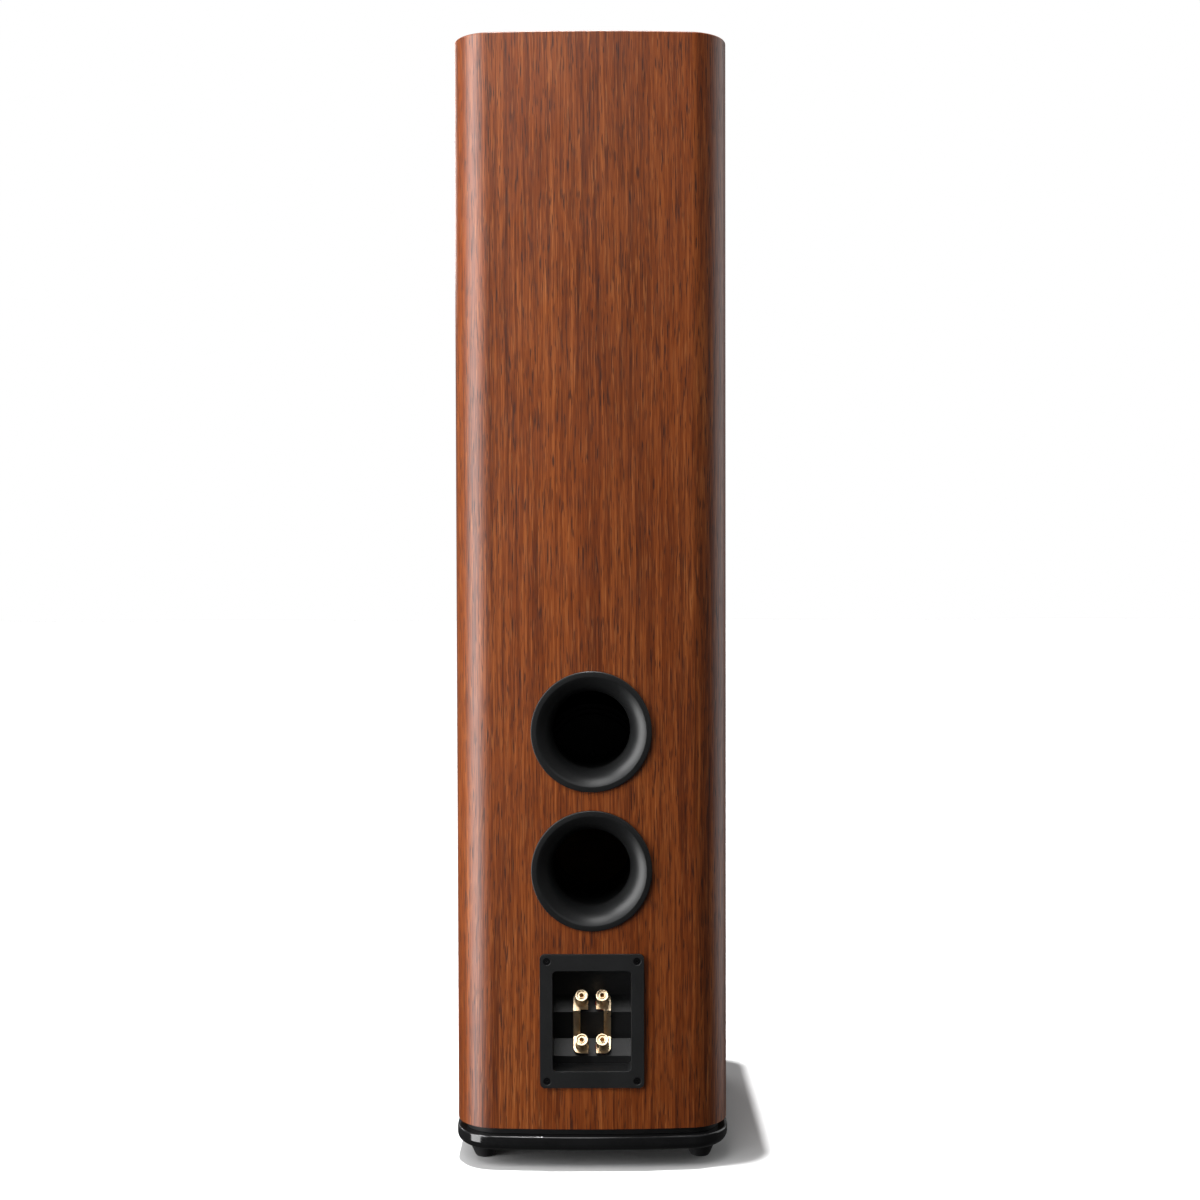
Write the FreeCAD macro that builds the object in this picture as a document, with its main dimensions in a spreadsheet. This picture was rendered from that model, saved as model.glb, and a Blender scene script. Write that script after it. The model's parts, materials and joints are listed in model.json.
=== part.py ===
"""A floorstanding loudspeaker: a tall veneered cabinet on a plinth with four screw feet.

Frame, in millimetres: the origin is on the floor under the middle of the cabinet, +Z is up,
the drivers face -Y, and the ports and terminals face +Y.
"""
import FreeCAD, Part
import math
import os
import re

import Sketcher
from FreeCAD import Placement, Rotation, Vector

# ---------------------------------------------------------------------------------------------
# Driving dimensions, in millimetres and degrees: alias, value, meaning
# ---------------------------------------------------------------------------------------------
DIMENSIONS = [
    ("width", 252, "cabinet width over the veneer"),
    ("body_depth", 326, "cabinet depth over the veneer, on the centre line"),
    ("height", 1041, "floor to the top of the cabinet"),
    ("proud", 2, "how far trims and flanges stand out of the cabinet"),
    ("front_corner", 27, "plan radius of the two front corners"),
    ("rear_corner", 38, "plan radius of the two rear corners"),
    ("bow_radius", 1100, "plan radius of the gently bowed back"),
    ("veneer", 0.8, "veneer thickness"),
    ("wall", 20, "side and rear panel thickness"),
    ("baffle", 25, "front baffle thickness"),
    ("slab", 22, "top and bottom panel thickness"),
    ("seam", 75, "half width of the rear panel, where it meets the side panels"),
    ("foot_height", 17, "floor to the underside of the plinth"),
    ("plinth_thick", 14.5, "plinth thickness"),
    ("neck_height", 7, "shadow gap between plinth and cabinet"),
    ("neck_inset", 7.5, "how far the neck stands back from the cabinet sides"),
    ("plinth_outset", 1, "how far the plinth stands out of the cabinet sides"),
    ("foot_x", 101.5, "foot position, sideways"),
    ("foot_y", 118, "foot position, front to back"),
    ("stud_radius", 4, "foot stud radius"),
    ("port_upper_z", 404.6, "height of the upper port"),
    ("port_lower_z", 276.9, "height of the lower port"),
    ("port_rim", 55.4, "port flange outer radius"),
    ("port_mouth", 50.5, "port flare radius at the flange"),
    ("port_throat", 36, "port radius at the throat"),
    ("flare_radius", 23.2, "radius of the port flare's curve, which meets the throat smoothly"),
    ("port_wall", 3, "port flare wall thickness"),
    ("flange", 4, "thickness of the port and terminal flanges"),
    ("flare_length", 21.5, "depth at which the port flare reaches its throat"),
    ("tube_end", 158, "depth at which the port tube ends"),
    ("cup_z", 138.9, "height of the terminal cup's centre"),
    ("cup_width", 95.5, "terminal flange width"),
    ("cup_height", 123, "terminal flange height"),
    ("cup_corner", 4.5, "terminal flange corner radius"),
    ("mouth_width", 72.4, "terminal recess width"),
    ("mouth_height", 92.9, "terminal recess height"),
    ("mouth_corner", 4, "terminal recess corner radius"),
    ("recess_back", 131, "Y of the back of the terminal recess"),
    ("cup_skin", 3, "terminal cup wall thickness"),
    ("cup_screw_x", 41.4, "terminal flange screw position, sideways"),
    ("cup_screw_up", 55.2, "terminal flange screw position, up and down"),
    ("ledge_top", 154.8, "Z of the upper ledge's top edge"),
    ("ledge_drop", 13.7, "height of a ledge"),
    ("ledge_pitch", 41.2, "distance from one ledge down to the other"),
    ("post_tilt", 36, "how far the posts tilt up from level, in degrees"),
    ("post_x", 9.525, "half of the standard 19.05 mm post spacing"),
    ("post_radius", 3, "post stud radius"),
    ("socket_radius", 2, "radius of the 4 mm plug socket in each post"),
    ("socket_depth", 15, "depth of that socket"),
    ("post_end", 19.6, "ledge to the outer end of the stud"),
    ("collar_radius", 6.5, "insulating collar radius"),
    ("collar_height", 3, "insulating collar thickness"),
    ("strap", 1.2, "jumper strap thickness"),
    ("nut_radius", 5.9, "thumb nut radius at its rims"),
    ("strap_inner", 10.95, "jumper bar, inner edge from the centre line"),
    ("strap_outer", 17.6, "jumper bar, outer edge from the centre line"),
    ("strap_tip", 3.7, "jumper fork tips from the centre line"),
    ("fork_half", 7.4, "half height of a jumper fork"),
    ("fork_slot", 3.2, "half width of a jumper fork's slot"),
    ("woofer_top_z", 735, "height of the uppermost woofer"),
    ("woofer_pitch", 190, "distance between woofers"),
    ("woofer_radius", 88, "woofer trim radius"),
    ("woofer_hole", 75, "woofer hole radius in the baffle"),
    ("woofer_screws", 81, "woofer screw circle radius"),
    ("cone_radius", 58.3, "woofer cone radius"),
    ("coil_radius", 16.6, "woofer voice coil outer radius"),
    ("horn_z", 925, "height of the tweeter waveguide"),
    ("horn_radius", 92, "waveguide trim radius"),
    ("horn_hole", 84, "waveguide hole radius in the baffle"),
    ("horn_screws", 87, "waveguide screw circle radius"),
    ("horn_mouth", 82, "waveguide mouth radius"),
    ("horn_throat", 12.7, "waveguide throat radius"),
    ("trim", 5, "driver trim thickness"),
    ("head_radius", 3.2, "driver screw head radius"),
    ("shank_radius", 1.9, "driver screw shank radius"),
    ("brace_thick", 16, "window brace thickness"),
    ("brace_rim", 25, "rim width around a window brace's opening"),
    ("felt", 8, "damping felt thickness"),
    ("board_z", 66, "height of the crossover board's underside"),
]
ALIASES = {alias for alias, _, _ in DIMENSIONS}
DRIVER_SCREWS = 5
BRACE_HEIGHTS = (460, 640, 826)
LEVELS = {"upper": "0", "lower": "ledge_pitch"}
POLES = {"red": -1, "black": 1}

document = FreeCAD.newDocument("floorstanding_speaker")
sheet = document.addObject("Spreadsheet::Sheet", "dims")
for row, (alias, size, meaning) in enumerate(DIMENSIONS, 1):
    sheet.set(f"A{row}", meaning)
    sheet.set(f"B{row}", str(size))
    sheet.setAlias(f"B{row}", alias)
document.recompute()

nodes = {}

# Which way a turned or extruded piece's own +Z points once it is placed.
UP = Rotation()
BACK = Rotation(Vector(1, 0, 0), -90)
FRONT = Rotation(Vector(1, 0, 0), 90)
SIDE = Rotation(Vector(0, 1, 0), 90)


def cells(expression):
    """The expression, with each alias turned into a reference to its cell."""
    return re.sub(r"[a-z]\w*", lambda word: "dims." + word[0] if word[0] in ALIASES else word[0],
                  expression)


def value(expression):
    result = sheet.evalExpression(cells(expression))
    return float(getattr(result, "Value", result))


def bind(thing, properties):
    for name, expression in properties.items():
        thing.setExpression(name, cells(expression))
    return thing


def place(thing, at, rotation=UP):
    thing.Placement = Placement(Vector(*[value(part) for part in at]), rotation)
    return bind(thing, {f"Placement.Base.{axis}": part for axis, part in zip("xyz", at)})


def node(label, thing):
    thing.Label = label
    nodes[label] = thing
    return thing


POST_AXIS = Rotation(Vector(1, 0, 0), value("post_tilt") - 90)


# ---------------------------------------------------------------------------------------------
# Sketches and the pieces made from them
# ---------------------------------------------------------------------------------------------
def arc_between(start, end, radius):
    """The short arc from start to end. A positive radius runs anticlockwise."""
    chord = end - start
    side = Vector(-chord.y, chord.x, 0).normalize() * (1 if radius > 0 else -1)
    rise = math.sqrt(max(radius ** 2 - (chord.Length / 2) ** 2, 0))
    centre = (start + end) / 2 + side * rise
    first, last = (start, end) if radius > 0 else (end, start)
    angles = [math.atan2(point.y - centre.y, point.x - centre.x) for point in (first, last)]
    if angles[1] <= angles[0]:
        angles[1] += 2 * math.pi
    return Part.ArcOfCircle(Part.Circle(centre, Vector(0, 0, 1), abs(radius)), *angles)


def sketch_on(body, plane, name):
    sketch = body.newObject("Sketcher::SketchObject", name)
    origin_plane = [part for part in body.Origin.OriginFeatures if part.Role == plane][0]
    sketch.AttachmentSupport = (origin_plane, [""])
    sketch.MapMode = "FlatFace"
    return sketch


def pin_point(sketch, edge, end, corner, tag):
    for kind, expression in zip(("DistanceX", "DistanceY"), corner):
        index = sketch.addConstraint(
            Sketcher.Constraint(kind, -1, 1, edge, end, value(expression)))
        sketch.renameConstraint(index, f"{kind[-1]}{tag}")
        bind(sketch, {f"Constraints.{kind[-1]}{tag}": expression})


def draw_outline(sketch, corners, arcs):
    """A closed outline through the corners. arcs maps a corner's number to the radius of the
    arc that leaves it; every other stretch is straight. All sizes are bound to the sheet."""
    points = [Vector(value(across), value(along), 0) for across, along in corners]
    count = len(points)
    first = sketch.GeometryCount
    ends = []
    for number, start in enumerate(points):
        end = points[(number + 1) % count]
        if number in arcs:
            radius = value(arcs[number])
            sketch.addGeometry(arc_between(start, end, radius), False)
            ends.append((1, 2) if radius > 0 else (2, 1))
        else:
            sketch.addGeometry(Part.LineSegment(start, end), False)
            ends.append((1, 2))
    for number in range(count):
        after = (number + 1) % count
        sketch.addConstraint(Sketcher.Constraint(
            "Coincident", first + number, ends[number][1], first + after, ends[after][0]))
    for number, corner in enumerate(corners):
        pin_point(sketch, first + number, ends[number][0], corner, f"{first + number}")
    for number, radius in arcs.items():
        index = sketch.addConstraint(
            Sketcher.Constraint("Radius", first + number, abs(value(radius))))
        sketch.renameConstraint(index, f"R{first + number}")
        bind(sketch, {f"Constraints.R{first + number}": f"abs({radius})"})


def draw_circles(sketch, centres, radius):
    for centre in centres:
        edge = sketch.addGeometry(Part.Circle(
            Vector(value(centre[0]), value(centre[1]), 0), Vector(0, 0, 1), value(radius)), False)
        pin_point(sketch, edge, 3, centre, f"C{edge}")
        index = sketch.addConstraint(Sketcher.Constraint("Radius", edge, value(radius)))
        sketch.renameConstraint(index, f"R{edge}")
        bind(sketch, {f"Constraints.R{edge}": radius})


def turned(name, corners, at=("0", "0", "0"), rotation=UP, arcs=None):
    """A solid of revolution about its own Z; corners are (radius, height) pairs."""
    body = document.addObject("PartDesign::Body", name)
    sketch = sketch_on(body, "XZ_Plane", name + "_profile")
    draw_outline(sketch, corners, arcs or {})
    turn = body.newObject("PartDesign::Revolution", name + "_turn")
    turn.Profile = sketch
    turn.ReferenceAxis = (sketch, ["V_Axis"])
    turn.Angle = 360
    return place(body, at, rotation)


def padded(name, corners, length, at=("0", "0", "0"), rotation=UP, arcs=None, plane="XY_Plane"):
    """An outline padded along the normal of its plane."""
    body = document.addObject("PartDesign::Body", name)
    sketch = sketch_on(body, plane, name + "_outline")
    draw_outline(sketch, corners, arcs or {})
    pad = body.newObject("PartDesign::Pad", name + "_pad")
    pad.Profile = sketch
    bind(pad, {"Length": length})
    return place(body, at, rotation)


def pocketed(body, name, centres, radius, depth):
    """Round pockets sunk into a turned body from its own XY plane, towards its own +Z."""
    before = body.Shape.Volume
    sketch = sketch_on(body, "XY_Plane", name)
    draw_circles(sketch, centres, radius)
    pocket = body.newObject("PartDesign::Pocket", name + "_pocket")
    pocket.Profile = sketch
    pocket.Reversed = True
    bind(pocket, {"Length": depth})
    document.recompute()
    if body.Shape.Volume >= before:
        raise RuntimeError(f"{name} cuts nothing")
    return body


def edges_at(shape, height):
    """Names of a shape's edges that lie wholly at one height of its own frame."""
    return [f"Edge{number}" for number, edge in enumerate(shape.Edges, 1)
            if abs(edge.BoundBox.ZMin - height) < 1e-6 and abs(edge.BoundBox.ZMax - height) < 1e-6]


def box(name, low, size):
    piece = document.addObject("Part::Box", name)
    bind(piece, dict(zip(("Length", "Width", "Height"), size)))
    return place(piece, low)


def cylinder(name, at, radius, length, rotation=UP):
    piece = document.addObject("Part::Cylinder", name)
    bind(piece, {"Radius": radius, "Height": length})
    return place(piece, at, rotation)


def joined(name, pieces, kind="Part::MultiFuse"):
    if len(pieces) == 1:
        return pieces[0]
    union = document.addObject(kind, name)
    if kind == "Part::Compound":
        union.Links = pieces
    else:
        union.Shapes = pieces
    return union


def group(name, pieces):
    """Separate solids kept in one node."""
    return joined(name, pieces, "Part::Compound")


def cut(name, base, tools):
    result = document.addObject("Part::Cut", name)
    result.Base = base
    result.Tool = joined(name + "_tools", tools)
    return result


def shared(name, base, tool):
    result = document.addObject("Part::Common", name)
    result.Base = base
    result.Tool = tool
    return result


# ---------------------------------------------------------------------------------------------
# Cabinet
# ---------------------------------------------------------------------------------------------
def plan_outline(inset):
    """The cabinet's plan, moved in by inset: straight front and sides, a bowed back, and
    corner arcs that run smoothly into their neighbours."""
    half = f"(width/2-({inset}))"
    front = f"(-body_depth/2+({inset}))"
    rear = f"(body_depth/2-({inset}))"
    small = f"(front_corner-({inset}))"
    large = f"(rear_corner-({inset}))"
    bow = f"(bow_radius-({inset}))"
    reach = f"sqrt(({bow}-{large})^2-({half}-{large})^2)"
    corner_y = f"({rear}-{bow}+{reach})"
    meet_x = f"(({half}-{large})*{bow}/({bow}-{large}))"
    meet_y = f"({rear}-{bow}+{reach}*{bow}/({bow}-{large}))"
    corners = [
        (f"-({half}-{small})", front), (f"{half}-{small}", front),
        (half, f"{front}+{small}"), (half, corner_y),
        (meet_x, meet_y), (f"-{meet_x}", meet_y),
        (f"-{half}", corner_y), (f"-{half}", f"{front}+{small}"),
    ]
    return corners, {1: small, 3: large, 4: bow, 5: large, 7: small}


def plan_prism(name, inset, bottom, length):
    corners, arcs = plan_outline(inset)
    return padded(name, corners, length, ("0", "0", bottom), arcs=arcs)


CABINET_BOTTOM = "(foot_height+plinth_thick+neck_height)"
PANELS_BOTTOM = f"({CABINET_BOTTOM}+slab)"
PANELS_HEIGHT = f"(height-veneer-slab-{PANELS_BOTTOM})"
BAFFLE_BACK = "(-body_depth/2+veneer+baffle)"
FACE_FRONT = "(-body_depth/2-proud)"
FACE_REAR = "(body_depth/2+proud)"
WOOFER_HEIGHTS = [f"(woofer_top_z-{number}*woofer_pitch)" for number in range(3)]
WOOFER_NAMES = ("upper", "middle", "lower")
PORTS = {"upper": "port_upper_z", "lower": "port_lower_z"}


def screw_spots(circle, centre_z=None):
    """Where a driver's screws stand: (X, Y) of its own turned frame, or (X, Z) of the row."""
    spots = []
    for number in range(DRIVER_SCREWS):
        angle = 360 / DRIVER_SCREWS * number + 90
        across = f"{circle}*cos({angle} deg)"
        up = f"{circle}*sin({angle} deg)"
        spots.append((across, f"-({up})") if centre_z is None else (across, f"{centre_z}+{up}"))
    return spots


def driver_openings():
    """Tools that open the baffle behind each trim: a shallow rebate, a through hole and the
    pilot holes for the screws."""
    drivers = [(name, height, "woofer_radius", "woofer_hole", "woofer_screws")
               for name, height in zip(WOOFER_NAMES, WOOFER_HEIGHTS)]
    drivers.append(("horn", "horn_z", "horn_radius", "horn_hole", "horn_screws"))
    tools = []
    for name, height, trim, hole, screws in drivers:
        tools.append(cylinder(f"rebate_{name}", ("0", FACE_FRONT, height),
                              f"{trim}+0.3", "trim", BACK))
        tools.append(cylinder(f"hole_{name}", ("0", FACE_FRONT, height),
                              hole, "baffle+20", BACK))
        for number, (across, up) in enumerate(screw_spots(screws, height)):
            tools.append(cylinder(f"pilot_{name}_{number}", (across, FACE_FRONT, up),
                                  "shank_radius", "20", BACK))
    return tools


def rear_openings():
    """Tools that open the back for the two port flares and the terminal cup."""
    tools = []
    for name, height in PORTS.items():
        tools.append(cylinder(f"port_rebate_{name}", ("0", FACE_REAR, height),
                              "port_rim+0.3", "flange", FRONT))
        tools.append(cylinder(f"port_hole_{name}", ("0", FACE_REAR, height),
                              "port_rim-1.4", "wall+20", FRONT))
    tools.append(box("cup_rebate",
                     ("-cup_width/2-0.3", f"{FACE_REAR}-flange", "cup_z-cup_height/2-0.3"),
                     ("cup_width+0.6", "flange", "cup_height+0.6")))
    tools.append(box("cup_hole",
                     ("-mouth_width/2-cup_skin-0.4", f"{FACE_REAR}-wall-20",
                      "cup_z-mouth_height/2-cup_skin-0.4"),
                     ("mouth_width+2*cup_skin+0.8", "wall+20", "mouth_height+2*cup_skin+0.8")))
    for across in ("-cup_screw_x", "cup_screw_x"):
        for up in ("cup_z-cup_screw_up", "cup_z+cup_screw_up"):
            tools.append(cylinder(f"cup_pilot_{len(tools)}", (across, FACE_REAR, up),
                                  "1.6", "16", FRONT))
    return tools


def make_cabinet():
    front_tools = joined("front_openings", driver_openings())
    rear_tools = joined("rear_openings", rear_openings())

    outside = plan_prism("wrap_outside", "0", CABINET_BOTTOM, f"height-{CABINET_BOTTOM}")
    inside = plan_prism("wrap_inside", "veneer", f"{CABINET_BOTTOM}-1",
                        f"height-veneer-{CABINET_BOTTOM}+1")
    node("veneer_wrap", cut("veneer", outside, [inside, front_tools, rear_tools]))

    node("bottom_panel", cut("bottom", plan_prism("bottom_slab", "veneer", CABINET_BOTTOM, "slab"),
                             foot_holes("bottom", CABINET_BOTTOM, "6.1", "slab-2")))
    node("top_panel", plan_prism("top_slab", "veneer", "height-veneer-slab", "slab"))

    solid = plan_prism("panel_outside", "veneer", PANELS_BOTTOM, PANELS_HEIGHT)
    cavity = plan_prism("panel_inside", "veneer+wall", PANELS_BOTTOM, PANELS_HEIGHT)
    walls = cut("panel_ring", solid, [cavity])
    front_zone = box("front_zone", ("-width", "-body_depth", PANELS_BOTTOM),
                     ("2*width", f"body_depth+{BAFFLE_BACK}", PANELS_HEIGHT))
    node("front_baffle", cut("baffle_cut", shared("baffle_blank", solid, front_zone),
                             [front_tools]))
    rear_zone = box("rear_zone", ("-seam", "0", PANELS_BOTTOM),
                    ("2*seam", "body_depth", PANELS_HEIGHT))
    node("rear_panel", cut("rear_cut", shared("rear_blank", walls, rear_zone), [rear_tools]))
    for name, low in (("left_side_panel", "-width"), ("right_side_panel", "0")):
        side_zone = box(name + "_zone", (low, BAFFLE_BACK, PANELS_BOTTOM),
                        ("width", "body_depth", PANELS_HEIGHT))
        node(name, cut(name + "_cut", shared(name + "_blank", walls, side_zone), [rear_zone]))


def make_braces():
    frames = []
    window = [("-width/2+wall+brace_rim", f"{BAFFLE_BACK}+brace_rim+8"),
              ("width/2-wall-brace_rim", f"{BAFFLE_BACK}+brace_rim+8"),
              ("width/2-wall-brace_rim", "body_depth/2-wall-brace_rim-8"),
              ("-width/2+wall+brace_rim", "body_depth/2-wall-brace_rim-8")]
    for number, height in enumerate(BRACE_HEIGHTS):
        bottom = f"{height}-brace_thick/2"
        blank = shared(f"brace_blank_{number}",
                       plan_prism(f"brace_plan_{number}", "veneer+wall", bottom, "brace_thick"),
                       box(f"brace_zone_{number}", ("-width", BAFFLE_BACK, bottom),
                           ("2*width", "body_depth", "brace_thick")))
        opening = padded(f"brace_window_{number}", window, "brace_thick+2",
                         ("0", "0", f"{bottom}-1"))
        frames.append(cut(f"brace_{number}", blank, [opening]))
    node("window_braces", group("braces", frames))


def make_felt():
    """Felt pads on both side panels, in each bay between the braces."""
    edges = [PANELS_BOTTOM, *[str(height) for height in BRACE_HEIGHTS], "height-veneer-slab"]
    pads = []
    for number, (below, above) in enumerate(zip(edges, edges[1:])):
        for side in (-1, 1):
            low_x = "-width/2+veneer+wall" if side < 0 else "width/2-veneer-wall-felt"
            pads.append(box(f"felt_{number}_{side + 1}", (low_x, "-120", f"{below}+14"),
                            ("felt", "220", f"({above})-({below})-28")))
    node("damping_felt", group("felt_pads", pads))


# ---------------------------------------------------------------------------------------------
# Plinth and feet
# ---------------------------------------------------------------------------------------------
def foot_spots():
    return [(f"{across}_{along}", sign_x, sign_y)
            for along, sign_y in (("front", -1), ("rear", 1))
            for across, sign_x in (("left", -1), ("right", 1))]


def foot_holes(name, bottom, radius, depth):
    return [cylinder(f"{name}_foot_hole_{spot}", (f"{sx}*foot_x", f"{sy}*foot_y", f"{bottom}-0.1"),
                     radius, f"{depth}+0.1") for spot, sx, sy in foot_spots()]


def make_plinth():
    block = plan_prism("plinth_block", "-plinth_outset", "foot_height", "plinth_thick")
    document.recompute()
    pad = block.Tip
    nose = block.newObject("PartDesign::Fillet", "plinth_nose")
    nose.Base = (pad, edges_at(pad.Shape, 0))
    nose.Radius = 8
    document.recompute()
    top_edge = block.newObject("PartDesign::Fillet", "plinth_top_edge")
    top_edge.Base = (nose, edges_at(nose.Shape, value("plinth_thick")))
    top_edge.Radius = 1.5
    node("plinth", cut("plinth_cut", block,
                       foot_holes("plinth", "foot_height", "6.1", "plinth_thick+1")))
    neck = plan_prism("neck_block", "neck_inset", "foot_height+plinth_thick", "neck_height")
    node("plinth_neck", cut("neck_cut", neck, foot_holes("neck", "foot_height+plinth_thick",
                                                         "6.1", "neck_height+1")))


def make_feet():
    sleeves = []
    profile = [("0", "0"), ("8.4", "0"), ("9.2", "0.8"), ("9.2", "1.6"), ("9.9", "2.2"),
               ("14.6", "13"), ("15.5", "14"), ("15.5", "foot_height-0.8"),
               ("14.7", "foot_height"), ("stud_radius", "foot_height"), ("stud_radius", "56.2"),
               ("stud_radius-0.8", "57"), ("0", "57")]
    for spot, sx, sy in foot_spots():
        at = (f"{sx}*foot_x", f"{sy}*foot_y", "0")
        node(f"foot_{spot}", turned(f"foot_body_{spot}", profile, at))
        sleeves.append(turned(f"insert_{spot}", [
            ("stud_radius+0.06", CABINET_BOTTOM), ("6", CABINET_BOTTOM),
            ("6", f"{CABINET_BOTTOM}+17.5"), ("stud_radius+0.06", f"{CABINET_BOTTOM}+17.5")], at))
    node("foot_inserts", group("inserts", sleeves))


# ---------------------------------------------------------------------------------------------
# Ports
# ---------------------------------------------------------------------------------------------
def make_ports():
    skirt = ("(port_throat+flare_radius"
             "-sqrt((flare_radius-port_wall)^2-(flare_length-flange)^2))")
    flare = [("port_mouth", "0"), ("port_rim-0.5", "0"), ("port_rim", "0.5"),
             ("port_rim", "flange"), (skirt, "flange"),
             ("port_throat+port_wall", "flare_length"),
             ("port_throat+port_wall", "flare_length+7"),
             ("port_throat", "flare_length+7"), ("port_throat", "flare_length")]
    curves = {4: "-(flare_radius-port_wall)", 8: "flare_radius+0.01"}
    tube = [("port_throat+3.1", "flare_length+1"), ("port_throat+5.6", "flare_length+1"),
            ("port_throat+5.6", "tube_end-12"), ("port_throat+11", "tube_end-2"),
            ("port_throat+11", "tube_end"), ("port_throat+8.5", "tube_end"),
            ("port_throat+3.1", "tube_end-9")]
    tubes = []
    for name, height in PORTS.items():
        at = ("0", FACE_REAR, height)
        node(f"{name}_port_flare", turned(f"flare_{name}", flare, at, FRONT, curves))
        tubes.append(turned(f"tube_{name}", tube, at, FRONT))
    node("port_tubes", group("tubes", tubes))


# ---------------------------------------------------------------------------------------------
# Terminal cup, binding posts and jumpers
# ---------------------------------------------------------------------------------------------
LEDGE_RUN = "(ledge_drop*tan(post_tilt*1 deg))"
CUP_TOP = "(cup_z+mouth_height/2)"
CUP_BOTTOM = "(cup_z-mouth_height/2)"


def rounded(half_width, half_height, radius):
    """A rectangle with rounded corners, about the origin, as corners and arcs."""
    corners = [(f"-({half_width})+{radius}", f"-({half_height})"),
               (f"{half_width}-{radius}", f"-({half_height})"),
               (half_width, f"-({half_height})+{radius}"), (half_width, f"{half_height}-{radius}"),
               (f"{half_width}-{radius}", half_height), (f"-({half_width})+{radius}", half_height),
               (f"-({half_width})", f"{half_height}-{radius}"),
               (f"-({half_width})", f"-({half_height})+{radius}")]
    return corners, {1: radius, 3: radius, 5: radius, 7: radius}


def sideways(name, corners, half_width):
    """An outline of (Y, Z) corners, padded across the cabinet."""
    return padded(name, corners, f"2*({half_width})", (f"-({half_width})", "0", "0"),
                  plane="YZ_Plane")


def make_cup():
    """The recess steps out twice on its way down, so each row of posts stands on a ledge
    that faces up and out."""
    back = "recess_back"
    step = f"({back}+{LEDGE_RUN})"
    hollow = [(f"{FACE_REAR}+1", CUP_TOP), (back, CUP_TOP), (back, "ledge_top"),
              (step, "ledge_top-ledge_drop"), (back, "ledge_top-ledge_pitch"),
              (step, "ledge_top-ledge_pitch-ledge_drop"), (f"{step}-1", CUP_BOTTOM),
              (f"{FACE_REAR}+1", CUP_BOTTOM)]
    skin = [(f"{FACE_REAR}-flange", f"{CUP_TOP}+cup_skin"), (f"{back}-cup_skin", f"{CUP_TOP}+cup_skin"),
            (f"{back}-cup_skin", "ledge_top-1.2"), (f"{step}-3.4", "ledge_top-ledge_drop-0.6"),
            (f"{back}-cup_skin", "ledge_top-ledge_pitch-1.2"),
            (f"{step}-3.4", "ledge_top-ledge_pitch-ledge_drop-0.6"),
            (f"{step}-4", f"{CUP_BOTTOM}-cup_skin"),
            (f"{FACE_REAR}-flange", f"{CUP_BOTTOM}-cup_skin")]
    corners, arcs = rounded("cup_width/2", "cup_height/2", "cup_corner")
    plate = padded("cup_plate", corners, "flange", ("0", FACE_REAR, "cup_z"), FRONT, arcs)
    shell = sideways("cup_skin_block", skin, "mouth_width/2+cup_skin")
    corners, arcs = rounded("mouth_width/2", "mouth_height/2", "mouth_corner")
    mouth = padded("cup_mouth", corners, "80", ("0", f"{FACE_REAR}+1", "cup_z"), FRONT, arcs)
    recess = shared("cup_recess", sideways("cup_hollow", hollow, "mouth_width/2"), mouth)
    holes = [cylinder(f"post_hole_{level}_{pole}", post_at(level, side, "-8"),
                      "post_radius+0.05", "12", POST_AXIS)
             for level in LEVELS for pole, side in POLES.items()]
    seats = [turned(f"screw_seat_{number}", [
        ("0", "-0.1"), ("3.7", "-0.1"), ("3.7", "0"), ("1.9", "2"), ("1.9", "6"), ("0", "6")],
        (across, FACE_REAR, up), FRONT) for number, (across, up) in enumerate(cup_screw_spots())]
    node("terminal_cup", cut("cup", joined("cup_blank", [plate, shell]), [recess, *holes, *seats]))


def cup_screw_spots():
    return [(across, up) for across in ("-cup_screw_x", "cup_screw_x")
            for up in ("cup_z-cup_screw_up", "cup_z+cup_screw_up")]


def make_cup_screws():
    screws = []
    for number, (across, up) in enumerate(cup_screw_spots()):
        blank = turned(f"cup_screw_{number}", [
            ("0", "0.15"), ("3.4", "0.15"), ("3.4", "0.3"), ("1.75", "2.1"), ("1.5", "2.6"),
            ("1.5", "14"), ("0", "15.5")], (across, FACE_REAR, up), FRONT)
        slots = [box(f"cup_screw_{number}_slot_{long}",
                     (f"{across}-{long}/2", f"{FACE_REAR}-1.3", f"{up}-{2.8 - long}/2"),
                     (str(long), "2", str(2.8 - long))) for long in (2.1, 0.7)]
        screws.append(cut(f"cup_screw_cut_{number}", blank, slots))
    node("cup_screws", group("cup_screw_set", screws))


def post_at(level, side, along="0"):
    """A point on a post's axis, this far out of its ledge."""
    return (f"{side}*post_x", f"recess_back+{LEDGE_RUN}/2+({along})*cos(post_tilt*1 deg)",
            f"ledge_top-ledge_drop/2-({LEVELS[level]})+({along})*sin(post_tilt*1 deg)")


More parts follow.
